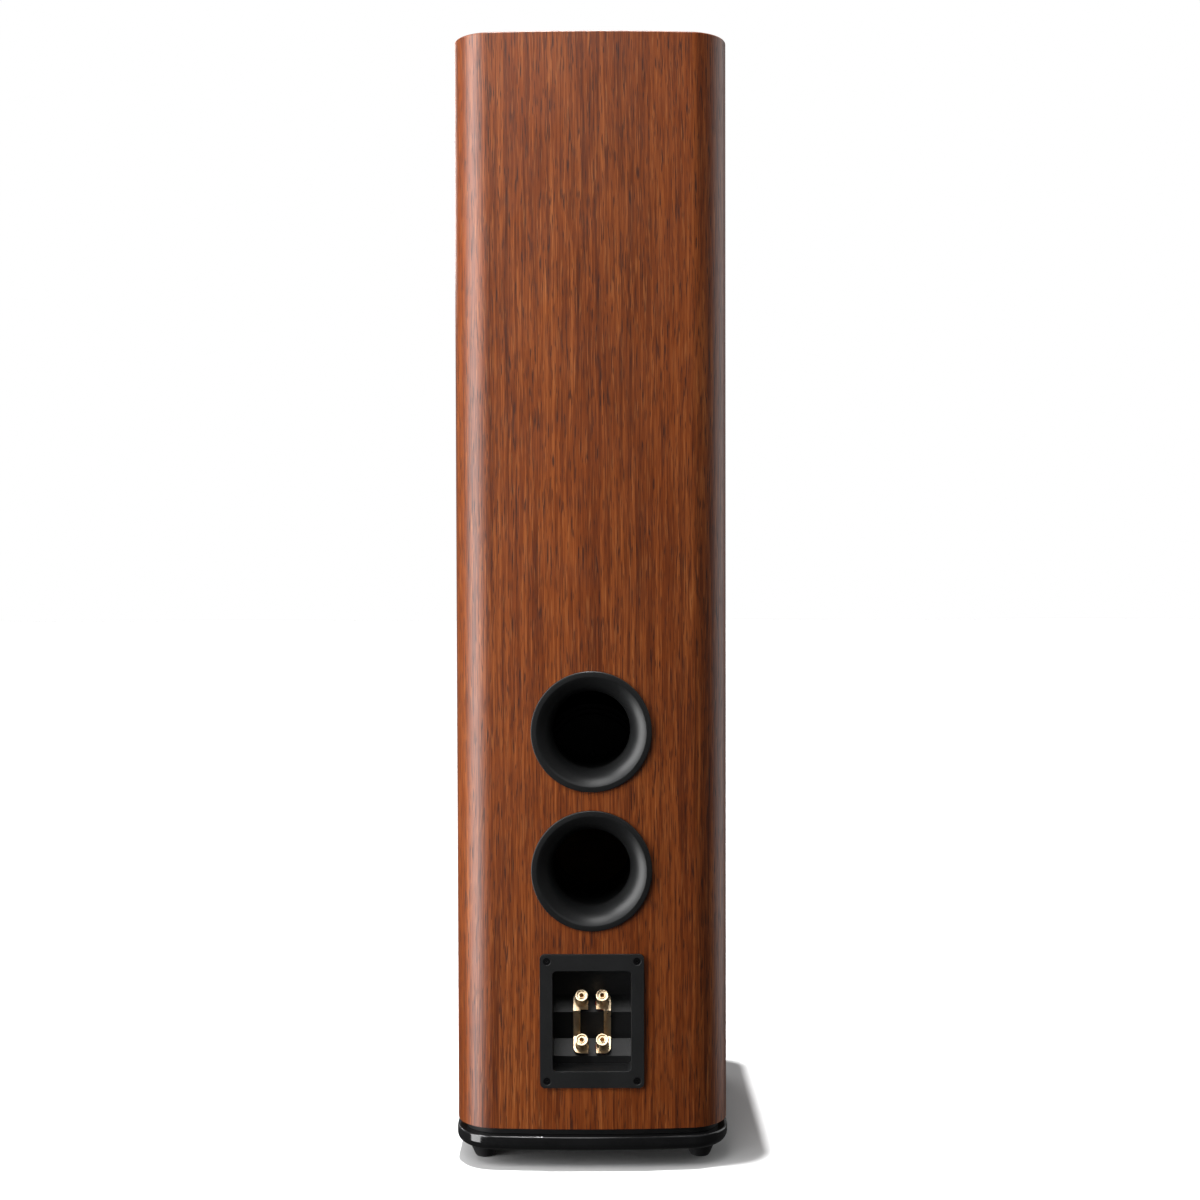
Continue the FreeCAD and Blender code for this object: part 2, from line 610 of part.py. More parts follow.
def make_posts():
    studs, rear_nuts = [], []
    collars = {"red": [], "black": []}
    strap_top = "(collar_height+strap+0.1)"
    for level in LEVELS:
        for pole, side in POLES.items():
            tag = f"{level}_{pole}"
            at = post_at(level, side)
            studs.append(turned(f"stud_{tag}", [
                ("0", "-14"), ("post_radius-0.6", "-14"), ("post_radius", "-13.4"),
                ("post_radius", "post_end-0.4"), ("post_radius-0.4", "post_end"),
                ("socket_radius", "post_end"), ("socket_radius", "post_end-socket_depth"),
                ("0", "post_end-socket_depth")], at, POST_AXIS))
            collars[pole].append(turned(f"collar_{tag}", [
                ("post_radius+0.05", "0"), ("collar_radius", "0"),
                ("collar_radius", "collar_height-0.5"), ("collar_radius-0.5", "collar_height"),
                ("post_radius+0.05", "collar_height")], at, POST_AXIS))
            rear_nuts.append(rear_nut(tag, at))
            node(f"clamp_washer_{tag}", turned(f"washer_{tag}", [
                ("post_radius+0.3", strap_top), ("nut_radius+0.3", strap_top),
                ("nut_radius+0.3", f"{strap_top}+1"), ("post_radius+0.3", f"{strap_top}+1")],
                at, POST_AXIS))
            nut = f"({strap_top}+1.05)"
            node(f"thumb_nut_{tag}", turned(f"nut_{tag}", [
                ("post_radius+0.08", nut), ("nut_radius", nut), ("nut_radius", f"{nut}+1.4"),
                ("nut_radius-0.6", f"{nut}+2"), ("nut_radius-0.6", "17.8"), ("nut_radius", "18.4"),
                ("nut_radius", "19.6"), ("nut_radius-0.4", "20"), ("nut_radius-1.5", "20"),
                ("nut_radius-1.5", "18.4"), ("post_radius+0.08", "18.4")], at, POST_AXIS))
    node("binding_posts", group("studs", studs))
    node("red_collars", group("collars_red", collars["red"]))
    node("black_collars", group("collars_black", collars["black"]))
    node("rear_post_nuts", group("nuts_rear", rear_nuts))


def rear_nut(tag, at):
    """The hexagonal nut that holds a post from inside the cabinet."""
    corners = [(f"5.5*cos({60 * number} deg)", f"5.5*sin({60 * number} deg)")
               for number in range(6)]
    hexagon = padded(f"rear_nut_{tag}", corners, "4", ("0", "0", "-8.3"))
    bore = cylinder(f"rear_bore_{tag}", ("0", "0", "-9"), "post_radius+0.05", "6")
    return place(cut(f"rear_nut_cut_{tag}", hexagon, [bore]), at, POST_AXIS)


def make_jumpers():
    """Each jumper is a bent strap with a fork at each end: one on an upper post, one on the
    lower post of the same colour. Both forks are open towards the centre line."""
    seat = "(collar_height+0.05)"
    bend = "9"
    slot = [("strap_tip", "-fork_slot"), ("post_x", "-fork_slot"), ("post_x+fork_slot", "0"),
            ("post_x", "fork_slot"), ("strap_tip", "fork_slot")]
    upper = [*slot,
             ("strap_tip", "fork_half"), ("strap_inner", "fork_half"), ("strap_inner", bend),
             ("strap_outer", bend), ("strap_outer", "4-fork_half"),
             ("strap_outer-4", "-fork_half"), ("strap_tip", "-fork_half")]
    lower = [*slot,
             ("strap_tip", "fork_half"), ("strap_outer-6", "fork_half"),
             ("strap_outer", "fork_half-6"), ("strap_outer", f"-{bend}"),
             ("strap_inner", f"-{bend}"), ("strap_inner", "-fork_half"),
             ("strap_tip", "-fork_half")]
    arcs = {"upper": {1: "fork_slot", 2: "fork_slot", 9: "-4"},
            "lower": {1: "fork_slot", 2: "fork_slot", 6: "-6"}}

    def strap_point(level, along, out):
        drop = LEVELS[level]
        return (f"recess_back+{LEDGE_RUN}/2+({out})*cos(post_tilt*1 deg)"
                f"+({along})*sin(post_tilt*1 deg)",
                f"ledge_top-ledge_drop/2-({drop})+({out})*sin(post_tilt*1 deg)"
                f"-({along})*cos(post_tilt*1 deg)")

    for pole, side in POLES.items():
        forks = []
        for level, outline in (("upper", upper), ("lower", lower)):
            _, y, z = post_at(level, side, seat)
            mirrored = [(f"{side}*({across})", along) for across, along in outline]
            curves = {number: f"{side}*({radius})" for number, radius in arcs[level].items()}
            forks.append(padded(f"fork_{level}_{pole}", mirrored, "strap", ("0", y, z),
                                POST_AXIS, curves))
        riser = [strap_point("upper", bend, seat), strap_point("upper", bend, f"{seat}+strap"),
                 strap_point("lower", f"-{bend}", f"{seat}+strap"),
                 strap_point("lower", f"-{bend}", seat)]
        low_x = "strap_inner" if side > 0 else "-strap_outer"
        bar = padded(f"riser_{pole}", riser, "strap_outer-strap_inner", (low_x, "0", "0"),
                     plane="YZ_Plane")
        node(f"jumper_{pole}", joined(f"jumper_fuse_{pole}", [*forks, bar]))


# ---------------------------------------------------------------------------------------------
# Drivers
# ---------------------------------------------------------------------------------------------
def make_basket(name, at):
    """Cast frame: a trim ring, a ledge for the surround, five legs and a seat for the motor."""
    body = turned(f"basket_{name}", [
        ("73", "0"), ("woofer_radius-1.5", "0"), ("woofer_radius", "1.5"),
        ("woofer_radius", "trim"), ("woofer_hole-0.2", "trim"), ("woofer_hole-0.2", "12"),
        ("52", "50"), ("52", "54"), ("20", "54"), ("20", "51"), ("49.5", "51"), ("71", "12"),
        ("67", "10"), ("67", "7"), ("73", "7")], at, BACK)
    document.recompute()
    pocketed(body, f"basket_{name}_heads", screw_spots("woofer_screws"), "head_radius+0.2", "2.6")
    pocketed(body, f"basket_{name}_shanks", screw_spots("woofer_screws"), "shank_radius+0.3", "6")
    before = body.Shape.Volume
    window = sketch_on(body, "XZ_Plane", f"basket_{name}_window")
    draw_outline(window, [("-14", "18"), ("14", "18"), ("9", "47"), ("-9", "47")], {})
    opening = body.newObject("PartDesign::Pocket", f"basket_{name}_opening")
    opening.Profile = window
    opening.Reversed = True
    bind(opening, {"Length": "100"})
    document.recompute()
    ring = body.newObject("PartDesign::PolarPattern", f"basket_{name}_windows")
    ring.Originals = [opening]
    ring.Axis = (window, ["V_Axis"])
    ring.Angle = 360
    ring.Occurrences = DRIVER_SCREWS
    body.Tip = ring
    document.recompute()
    if body.Shape.Volume >= before:
        raise RuntimeError("the basket's windows cut nothing")
    return body


def make_woofers():
    motors, spiders = [], []
    for name, height in zip(WOOFER_NAMES, WOOFER_HEIGHTS):
        at = ("0", FACE_FRONT, height)
        node(f"{name}_woofer_basket", make_basket(name, at))
        node(f"{name}_woofer_surround", turned(f"surround_{name}", [
            ("55.5", "6"), ("58.5", "6"), ("67.5", "6"), ("72.8", "6"), ("72.8", "6.9"),
            ("66.5", "6.9"), ("59.5", "6.9"), ("55.5", "6.9")], at, BACK,
            {1: "4.55", 5: "-3.55"}))
        node(f"{name}_woofer_cone", turned(f"cone_{name}", [
            ("cone_radius", "7.1"), ("cone_radius", "9.1"), ("coil_radius", "38.2"),
            ("coil_radius", "36.2"), ("22.4", "32.2"), ("0", "26.2"), ("0", "25"),
            ("24", "31.1")], at, BACK, {4: "-45", 6: "46"}))
        node(f"{name}_woofer_voice_coil", turned(f"coil_{name}", [
            ("coil_radius-1", "36"), ("coil_radius", "36"), ("coil_radius", "66"),
            ("coil_radius-1", "66")], at, BACK))
        spiders.append(turned(f"spider_{name}", [
            ("coil_radius+0.4", "45"), ("24", "45"), ("27", "43.8"), ("31", "46"), ("35", "43.8"),
            ("39", "46"), ("43", "43.8"), ("47", "45"), ("52", "45"), ("52", "46"), ("47", "46"),
            ("43", "44.8"), ("39", "47"), ("35", "44.8"), ("31", "47"), ("27", "44.8"),
            ("24", "46"), ("coil_radius+0.4", "46")], at, BACK))
        motors += [
            turned(f"front_plate_{name}", [
                ("coil_radius+0.8", "54"), ("42", "54"), ("42", "60"),
                ("coil_radius+0.8", "60")], at, BACK),
            turned(f"magnet_{name}", [("22", "60"), ("48", "60"), ("48", "78"), ("22", "78")],
                   at, BACK),
            turned(f"yoke_{name}", [
                ("5", "53"), ("coil_radius-1.6", "53"), ("coil_radius-1.6", "78"), ("44", "78"),
                ("44", "84"), ("43", "85"), ("5", "85")], at, BACK),
        ]
    node("woofer_motors", group("motors", motors))
    node("woofer_spiders", group("spiders", spiders))


def make_tweeter():
    at = ("0", FACE_FRONT, "horn_z")
    waveguide = turned("waveguide_body", [
        ("horn_mouth", "0"), ("horn_radius-1.5", "0"), ("horn_radius", "1.5"),
        ("horn_radius", "trim"), ("horn_mouth-3", "trim"), ("horn_throat+6", "50"),
        ("40", "50"), ("40", "54"), ("horn_throat", "54"), ("horn_throat", "50")],
        at, BACK, {4: "-80", 9: "85"})
    document.recompute()
    pocketed(waveguide, "waveguide_heads", screw_spots("horn_screws"), "head_radius+0.2", "2.6")
    pocketed(waveguide, "waveguide_shanks", screw_spots("horn_screws"), "shank_radius+0.3", "6")
    node("tweeter_waveguide", waveguide)
    node("tweeter_diaphragm", turned("diaphragm_body", [
        ("25.4", "60.6"), ("25.4", "61"), ("23", "61"), ("23", "68"), ("22.4", "68"),
        ("22.4", "61.2"), ("0", "57"), ("0", "56.5"), ("22.6", "60.6")], at, BACK,
        {5: "-63", 7: "66"}))
    node("tweeter_motor", group("tweeter_motor_group", [
        turned("tweeter_spacer", [("26", "54"), ("40", "54"), ("40", "62"), ("26", "62")],
               at, BACK),
        turned("tweeter_plate", [("23.7", "62"), ("40", "62"), ("40", "66"), ("23.7", "66")],
               at, BACK),
        turned("tweeter_magnet", [("28", "66"), ("45", "66"), ("45", "82"), ("28", "82")],
               at, BACK),
        turned("tweeter_yoke", [("0", "62.5"), ("21.7", "62.5"), ("21.7", "82"), ("40", "82"),
                                ("40", "88"), ("0", "88")], at, BACK)]))


def make_driver_screws():
    screws = []
    drivers = [(name, height, "woofer_screws") for name, height in
               zip(WOOFER_NAMES, WOOFER_HEIGHTS)] + [("horn", "horn_z", "horn_screws")]
    for name, height, circle in drivers:
        for number, (across, up) in enumerate(screw_spots(circle, height)):
            blank = turned(f"screw_{name}_{number}", [
                ("0", "0.3"), ("head_radius-0.4", "0.3"), ("head_radius", "0.7"),
                ("head_radius", "2.5"), ("shank_radius-0.05", "2.5"),
                ("shank_radius-0.05", "18"), ("0", "19.5")], (across, FACE_FRONT, up), BACK)
            socket = padded(f"screw_socket_{name}_{number}", [
                (f"1.5*cos({60 * side} deg)", f"1.5*sin({60 * side} deg)") for side in range(6)],
                "1.7", (across, FACE_FRONT, up), BACK)
            screws.append(cut(f"screw_cut_{name}_{number}", blank, [socket]))
    node("driver_screws", group("driver_screw_set", screws))


# ---------------------------------------------------------------------------------------------
# Crossover and wiring
# ---------------------------------------------------------------------------------------------
def make_crossover():
    board = box("board_plate", ("-70", "-110", "board_z"), ("140", "170", "2"))
    legs = [cylinder(f"board_leg_{number}", (across, along, PANELS_BOTTOM), "3",
                     f"board_z-{PANELS_BOTTOM}")
            for number, (across, along) in enumerate(
                [("-62", "-102"), ("62", "-102"), ("-62", "52"), ("62", "52")])]
    node("crossover_board", joined("board", [board, *legs]))
    top = "board_z+2"
    coils = [turned(f"inductor_{number}", [("8", "0"), (radius, "0"), (radius, tall), ("8", tall)],
                    (across, along, top))
             for number, (across, along, radius, tall) in enumerate([
                 ("-42", "-78", "24", "22"), ("38", "-74", "20", "20"), ("-44", "16", "18", "18")])]
    node("crossover_inductors", group("inductors", coils))
    cans = [cylinder(f"capacitor_{number}", (across, along, f"{top}+{radius}"), radius, long, SIDE)
            for number, (across, along, radius, long) in enumerate([
                ("-10", "-32", "11", "44"), ("-10", "-4", "13", "48"), ("-10", "24", "9", "40"),
                ("-10", "46", "7", "34"), ("48", "-40", "5", "18")])]
    node("crossover_capacitors", group("capacitors", cans))


def lead(points, radius, bend):
    """A wire of straight runs joined by tangent arcs."""
    spine, start = [], points[0]
    for before, corner, after in zip(points, points[1:], points[2:]):
        first = corner + (before - corner).normalize() * bend
        last = corner + (after - corner).normalize() * bend
        middle = corner + ((first + last) / 2 - corner).normalize() * bend * (math.sqrt(2) - 1)
        spine += [Part.makeLine(start, first), Part.Arc(first, middle, last).toShape()]
        start = last
    spine.append(Part.makeLine(start, points[-1]))
    heading = points[1] - points[0]
    section = Part.Wire(Part.makeCircle(radius, points[0], heading))
    return Part.Wire(spine).makePipeShell([section], True, False)


def make_leads():
    """Runs from the board up to each driver, and down to the board from the terminals. All
    bends are square."""
    top = value("board_z+2")
    seat_back = value(FACE_FRONT) + 54
    wires = []
    for number, height in enumerate(WOOFER_HEIGHTS):
        across = 62 - 5 * number
        wires.append([Vector(across, 40 - 12 * number, top),
                      Vector(across, 40 - 12 * number, value(height)),
                      Vector(50.4, 40 - 12 * number, value(height)),
                      Vector(50.4, seat_back, value(height))])
    wires.append([Vector(66, 30, top), Vector(66, 30, value("horn_z")),
                  Vector(36, 30, value("horn_z")), Vector(36, value(FACE_FRONT) + 88, value("horn_z"))])
    for side in (-1, 1):
        wires.append([Vector(side * 22, 56, top), Vector(side * 22, 56, 150),
                      Vector(side * 22, 118, 150)])
    leads = document.addObject("Part::Feature", "leads")
    leads.Shape = Part.makeCompound([lead(points, 1.5, 5) for points in wires])
    node("internal_leads", leads)


# ---------------------------------------------------------------------------------------------
# Build, check and write
# ---------------------------------------------------------------------------------------------
def check(thing):
    shape = thing.Shape
    if shape.isNull() or not shape.isValid() or not shape.Solids:
        raise RuntimeError(f"{thing.Label} has no valid solid")
    if min(solid.Volume for solid in shape.Solids) <= 0:
        raise RuntimeError(f"{thing.Label} has a solid with no volume")


def main():
    make_cabinet()
    make_braces()
    make_felt()
    make_plinth()
    make_feet()
    make_ports()
    make_cup()
    make_cup_screws()
    make_posts()
    make_jumpers()
    make_woofers()
    make_tweeter()
    make_driver_screws()
    make_crossover()
    make_leads()
    document.recompute()
    failed = [thing.Name for thing in document.Objects
              if "Invalid" in thing.State or "Error" in thing.State]
    if failed:
        raise RuntimeError(f"failed: {failed}")
    for thing in nodes.values():
        check(thing)
    os.makedirs("parts", exist_ok=True)
    for label, thing in nodes.items():
        thing.Shape.exportStep(f"parts/{label}.step")
    print(len(nodes), "nodes written")


main()
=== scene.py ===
"""Finishes, light and camera for a floorstanding speaker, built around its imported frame.

Lengths in tables are in millimetres and are scaled where they are used. The back of the
cabinet faces +Y, its sides face -X and +X, and the floor is z = 0."""
import json
import math

import bmesh
import bpy
from mathutils import Matrix, Vector


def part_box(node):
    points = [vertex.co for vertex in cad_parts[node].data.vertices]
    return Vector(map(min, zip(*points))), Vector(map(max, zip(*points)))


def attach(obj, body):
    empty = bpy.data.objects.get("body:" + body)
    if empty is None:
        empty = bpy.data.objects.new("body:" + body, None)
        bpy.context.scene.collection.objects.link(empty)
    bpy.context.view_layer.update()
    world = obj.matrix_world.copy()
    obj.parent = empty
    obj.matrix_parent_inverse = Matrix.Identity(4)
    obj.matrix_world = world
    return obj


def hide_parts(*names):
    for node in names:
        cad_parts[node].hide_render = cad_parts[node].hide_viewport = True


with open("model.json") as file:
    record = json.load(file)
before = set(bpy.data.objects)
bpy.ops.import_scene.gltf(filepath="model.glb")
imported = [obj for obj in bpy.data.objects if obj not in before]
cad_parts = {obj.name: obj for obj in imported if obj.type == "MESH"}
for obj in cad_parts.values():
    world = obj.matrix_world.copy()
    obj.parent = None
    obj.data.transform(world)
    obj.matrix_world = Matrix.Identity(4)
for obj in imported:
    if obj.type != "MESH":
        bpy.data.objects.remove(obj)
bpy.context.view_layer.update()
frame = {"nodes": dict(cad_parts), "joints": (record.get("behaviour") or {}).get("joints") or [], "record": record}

MM = 0.001
BODY_OF = {node: body for body, members in frame["record"]["behaviour"]["bodies"].items()
           for node in members}
JOINTS = {joint["name"]: joint for joint in frame["joints"]}
WOOFERS = ("upper", "middle", "lower")
LEVELS = ("upper", "lower")
POLES = ("red", "black")


# ---------------------------------------------------------------------------------------------
# Materials
# ---------------------------------------------------------------------------------------------
class Shader:
    """One material's node tree, built by short calls. Coordinates are the object's own."""

    def __init__(self, name):
        self.material = bpy.data.materials.new(name)
        self.material.use_nodes = True
        self.tree = self.material.node_tree
        self.tree.nodes.clear()
        self.surface = self.tree.nodes.new("ShaderNodeBsdfPrincipled")
        output = self.tree.nodes.new("ShaderNodeOutputMaterial")
        self.tree.links.new(self.surface.outputs[0], output.inputs["Surface"])
        self.place = self.tree.nodes.new("ShaderNodeTexCoord").outputs["Object"]

    def put(self, node, key, value):
        socket = node.inputs[key]
        if isinstance(value, bpy.types.NodeSocket):
            self.tree.links.new(value, socket)
        elif isinstance(value, (tuple, list, Vector)) and len(value) == 3 and socket.type == "RGBA":
            socket.default_value = (*value, 1)
        else:
            socket.default_value = value

    def node(self, kind, inputs, **settings):
        made = self.tree.nodes.new("ShaderNode" + kind)
        for key, value in settings.items():
            setattr(made, key, value)
        for key, value in inputs.items():
            self.put(made, key, value)
        return made

    def math(self, operation, a, b=0.0):
        return self.node("Math", {0: a, 1: b}, operation=operation).outputs[0]

    def vector(self, operation, a, b):
        return self.node("VectorMath", {0: a, 1: b}, operation=operation).outputs[0]

    def mapped(self, place=None, scale=(1, 1, 1), turn=(0, 0, 0), move=(0, 0, 0)):
        return self.node("Mapping", {"Vector": place or self.place, "Scale": scale,
                                     "Rotation": turn, "Location": move}).outputs[0]

    def noise(self, size, place=None, detail=2.0, rough=0.5, move=(0, 0, 0), colour=False):
        """Noise whose features are about size millimetres, a number or one for each axis."""
        sizes = size if isinstance(size, tuple) else (size,) * 3
        spot = self.mapped(place, scale=tuple(1 / (MM * each) for each in sizes), move=move)
        made = self.node("TexNoise", {"Vector": spot, "Scale": 1.0, "Detail": detail,
                                      "Roughness": rough})
        return made.outputs["Color" if colour else "Fac"]

    def spread(self, value, low, high, to_low=0.0, to_high=1.0):
        """The value stretched from low..high to to_low..to_high, and held there."""
        return self.node("MapRange", {"Value": value, "From Min": low, "From Max": high,
                                      "To Min": to_low, "To Max": to_high}).outputs[0]

    def ramp(self, value, stops):
        made = self.node("ValToRGB", {"Fac": value})
        band = made.color_ramp
        while len(band.elements) < len(stops):
            band.elements.new(0.5)
        for element, (position, colour) in zip(band.elements, stops):
            element.position = position
            element.color = (*colour, 1)
        return made.outputs[0]

    def blend(self, amount, a, b, kind="MIX"):
        made = self.tree.nodes.new("ShaderNodeMix")
        made.data_type = "RGBA"
        made.blend_type = kind
        self.put(made, 0, amount)
        self.put(made, 6, a)
        self.put(made, 7, b)
        return made.outputs[2]

    def bump(self, height, distance, strength=1.0, before=None):
        inputs = {"Height": height, "Distance": distance * MM, "Strength": strength}
        if before is not None:
            inputs["Normal"] = before
        return self.node("Bump", inputs).outputs[0]

    def finish(self, **values):
        for key, value in values.items():
            self.put(self.surface, key.replace("_", " "), value)
        return self.material


def walnut(name, grain_along_y=False):
    """Satin lacquered walnut: drifting figure, narrow streaks, fibres and short open pores,
    all stretched along the grain."""
    s = Shader(name)
    place = s.mapped(turn=(math.pi / 2, 0, 0)) if grain_along_y else s.place
    drift = s.noise((120, 120, 420), place, detail=2, colour=True)
    drift = s.vector("MULTIPLY", s.vector("SUBTRACT", drift, (0.5, 0.5, 0.5)), (0.010, 0.010, 0))
    sway = s.noise((14, 14, 60), place, detail=2, colour=True, move=(3, 7, 1))
    sway = s.vector("MULTIPLY", s.vector("SUBTRACT", sway, (0.5, 0.5, 0.5)), (0.0016, 0.0016, 0))
    grain = s.vector("ADD", s.vector("ADD", place, drift), sway)
    figure = s.noise((22, 22, 700), grain, detail=3, rough=0.55)
    streaks = s.noise((3.0, 3.0, 210), grain, detail=3, rough=0.6, move=(11, 5, 2))
    fibres = s.noise((1.1, 1.1, 60), grain, detail=3, rough=0.62, move=(5, 2, 8))
    fine = s.noise((0.5, 0.5, 22), grain, detail=2, rough=0.6)
    tone = s.math("MULTIPLY", s.spread(figure, 0.3, 0.7), 0.15)
    tone = s.math("ADD", tone, s.math("MULTIPLY", s.spread(streaks, 0.28, 0.72), 0.40))
    tone = s.math("ADD", tone, s.math("MULTIPLY", s.spread(fibres, 0.28, 0.72), 0.33))
    tone = s.math("ADD", tone, s.math("MULTIPLY", fine, 0.12))
    wood = s.ramp(tone, [(0.20, (0.064, 0.0108, 0.0012)), (0.40, (0.150, 0.0300, 0.0040)),
                         (0.54, (0.238, 0.0530, 0.0080)), (0.70, (0.365, 0.0980, 0.0195)),
                         (0.86, (0.500, 0.1750, 0.0500))])
    hue = s.noise((60, 60, 500), place, detail=1, move=(1, 9, 4))
    wood = s.blend(s.spread(hue, 0.35, 0.65, 0.0, 0.30), wood, (0.30, 0.058, 0.006), "MIX")
    threads = s.spread(s.noise((0.9, 0.9, 34), grain, detail=1, move=(2, 6, 9)), 0.60, 0.70)
    wood = s.blend(s.math("MULTIPLY", threads, 0.40), wood, (0.52, 0.18, 0.050))
    pores = s.noise((0.85, 0.85, 20), grain, detail=1, move=(9, 1, 3))
    pore = s.spread(pores, 0.585, 0.66)
    wood = s.blend(s.math("MULTIPLY", pore, 0.90), wood, (0.040, 0.007, 0.0012))
    relief = s.math("SUBTRACT", s.math("MULTIPLY", fibres, 0.5), pore)
    lacquer = s.noise(26, place, detail=2)
    rough = s.math("ADD", s.spread(lacquer, 0.3, 0.7, 0.35, 0.41), s.math("MULTIPLY", pore, 0.10))
    return s.finish(Base_Color=wood, Roughness=rough, IOR=1.5,
                    Normal=s.bump(relief, 0.035, 0.6), Coat_Weight=0.35, Coat_Roughness=0.33)


def moulded(name, colour, rough=(0.42, 0.5), grain=0.7, depth=0.03, tint=0.25, metal=0.0,
            patch=35, **extra):
    """A moulded, painted or plated finish: cloudy tone, uneven gloss and a fine surface grain."""
    s = Shader(name)
    cloud = s.noise(patch, detail=3)
    speck = s.noise(grain, detail=2, move=(4, 1, 6))
    shade = s.math("ADD", s.math("MULTIPLY", cloud, 0.6), s.math("MULTIPLY", speck, 0.4))
    dark = tuple(part * (1 - tint) for part in colour)
    light = tuple(min(part * (1 + tint), 1) for part in colour)
    tone = s.ramp(shade, [(0.36, dark), (0.64, light)])
    gloss = s.spread(s.noise(patch * 0.4, detail=2, move=(2, 8, 5)), 0.3, 0.7, *rough)
    return s.finish(Base_Color=tone, Roughness=gloss, Metallic=metal,
                    Normal=s.bump(speck, depth, 0.7), **extra)


def leathery(name, colour, rough, cell, depth, tint=0.3, **extra):
    """Moulded plastic with a spark-eroded texture, or rubber with a dry skin."""
    s = Shader(name)
    cells = s.node("TexVoronoi", {"Vector": s.mapped(), "Scale": 1 / (cell * MM)},
                   feature="SMOOTH_F1").outputs["Distance"]
    speck = s.noise(cell * 0.8, detail=2)
    height = s.math("ADD", s.math("MULTIPLY", cells, 0.8), speck)
    cloud = s.noise(30, detail=2)
    shade = s.math("ADD", s.math("MULTIPLY", speck, 0.6), s.math("MULTIPLY", cloud, 0.4))
    dark = tuple(part * (1 - tint) for part in colour)
    light = tuple(part * (1 + tint) for part in colour)
    return s.finish(Base_Color=s.ramp(shade, [(0.35, dark), (0.65, light)]),
                    Roughness=s.spread(speck, 0.3, 0.7, *rough),
                    Normal=s.bump(height, depth, 0.8), **extra)


def woven(name, colour, pitch, rough=(0.7, 0.85), depth=0.12):
    """Crossed threads, from two sets of bands."""
    s = Shader(name)
    bands = [s.node("TexWave", {"Vector": s.mapped(turn=turn), "Scale": 1 / (6.4 * pitch * MM),
                                "Distortion": 0.6, "Detail": 1.0}).outputs["Fac"]
             for turn in ((0, 0, 0), (0, math.pi / 2, 0))]
    weave = s.math("MULTIPLY", bands[0], bands[1])
    fuzz = s.noise(pitch * 0.7, detail=2)
    tone = s.math("ADD", s.math("MULTIPLY", weave, 0.6), s.math("MULTIPLY", fuzz, 0.4))
    dark = tuple(part * 0.55 for part in colour)
    return s.finish(Base_Color=s.ramp(tone, [(0.15, dark), (0.6, colour)]),
                    Roughness=s.spread(fuzz, 0.3, 0.7, *rough),
                    Normal=s.bump(tone, depth, 0.8))


FINISH = {
    "walnut_veneer": walnut("walnut_upright"),
    "board_core": moulded("fibreboard", (0.30, 0.19, 0.10), (0.8, 0.9), 0.9, 0.08),
    "felt": leathery("wool_felt", (0.24, 0.24, 0.22), (0.9, 1.0), 1.6, 0.5),
    "gloss_black_base": moulded("black_lacquer", (0.012, 0.012, 0.0125), (0.10, 0.16), 3.0,
                                0.004, Coat_Weight=0.6, Coat_Roughness=0.05),
    "matte_black_base": moulded("matt_black", (0.008, 0.008, 0.0085), (0.62, 0.72), 0.6, 0.03),
    "foot_finish": leathery("foot_rubber", (0.030, 0.030, 0.031), (0.40, 0.52), 0.8, 0.03),
    "insert_brass": moulded("brass", (0.72, 0.50, 0.22), (0.28, 0.4), 0.5, 0.01, 0.12, 1.0),
    "port_black": leathery("port_plastic", (0.0125, 0.0130, 0.0135), (0.33, 0.39), 0.7, 0.008),
    "terminal_black": leathery("cup_plastic", (0.0150, 0.0154, 0.0160), (0.38, 0.50), 0.9, 0.045),
    "black_screws": moulded("black_oxide", (0.010, 0.010, 0.011), (0.30, 0.42), 0.5, 0.01,
                            0.3, 0.6),
    "gold_plate": moulded("gold", (0.98, 0.75, 0.50), (0.27, 0.36), 1.4, 0.004, 0.06, 1.0, 8),
    "red_insulator": moulded("red_plastic", (0.48, 0.010, 0.008), (0.22, 0.32), 0.8, 0.01),
    "black_insulator": moulded("black_plastic", (0.010, 0.010, 0.010), (0.25, 0.35), 0.8, 0.01),
    "zinc_steel": moulded("zinc", (0.55, 0.56, 0.58), (0.3, 0.42), 0.8, 0.01, 0.1, 1.0),
    "cast_frame": leathery("cast_frame_paint", (0.014, 0.014, 0.015), (0.36, 0.46), 0.5, 0.02),
    "surround_rubber": leathery("surround_rubber", (0.011, 0.011, 0.0115), (0.48, 0.60), 1.2,
                                0.02),
    "cone_composite": moulded("cone_composite", (0.020, 0.020, 0.022), (0.30, 0.40), 1.1, 0.03,
                              0.35, Coat_Weight=0.25, Coat_Roughness=0.2),
    "copper_wire": moulded("copper", (0.80, 0.36, 0.20), (0.25, 0.35), 0.4, 0.01, 0.1, 1.0),
    "motor_steel": moulded("motor_paint", (0.020, 0.020, 0.021), (0.42, 0.55), 0.9, 0.02),
    "spider_cloth": woven("spider_cloth", (0.50, 0.34, 0.14), 0.7),
    "waveguide_black": leathery("waveguide_plastic", (0.012, 0.012, 0.013), (0.30, 0.38), 0.6,
                                0.006),
    "diaphragm_film": moulded("diaphragm", (0.50, 0.51, 0.54), (0.2, 0.3), 0.6, 0.01, 0.1, 0.8),
    "circuit_board": moulded("circuit_board", (0.03, 0.16, 0.07), (0.35, 0.5), 1.5, 0.02),
    "capacitor_sleeve": moulded("sleeve", (0.05, 0.07, 0.20), (0.3, 0.42), 1.0, 0.01),
    "lead_jacket": moulded("lead_jacket", (0.16, 0.012, 0.012), (0.4, 0.5), 0.8, 0.01),
}
WALNUT_TOP = walnut("walnut_across", grain_along_y=True)

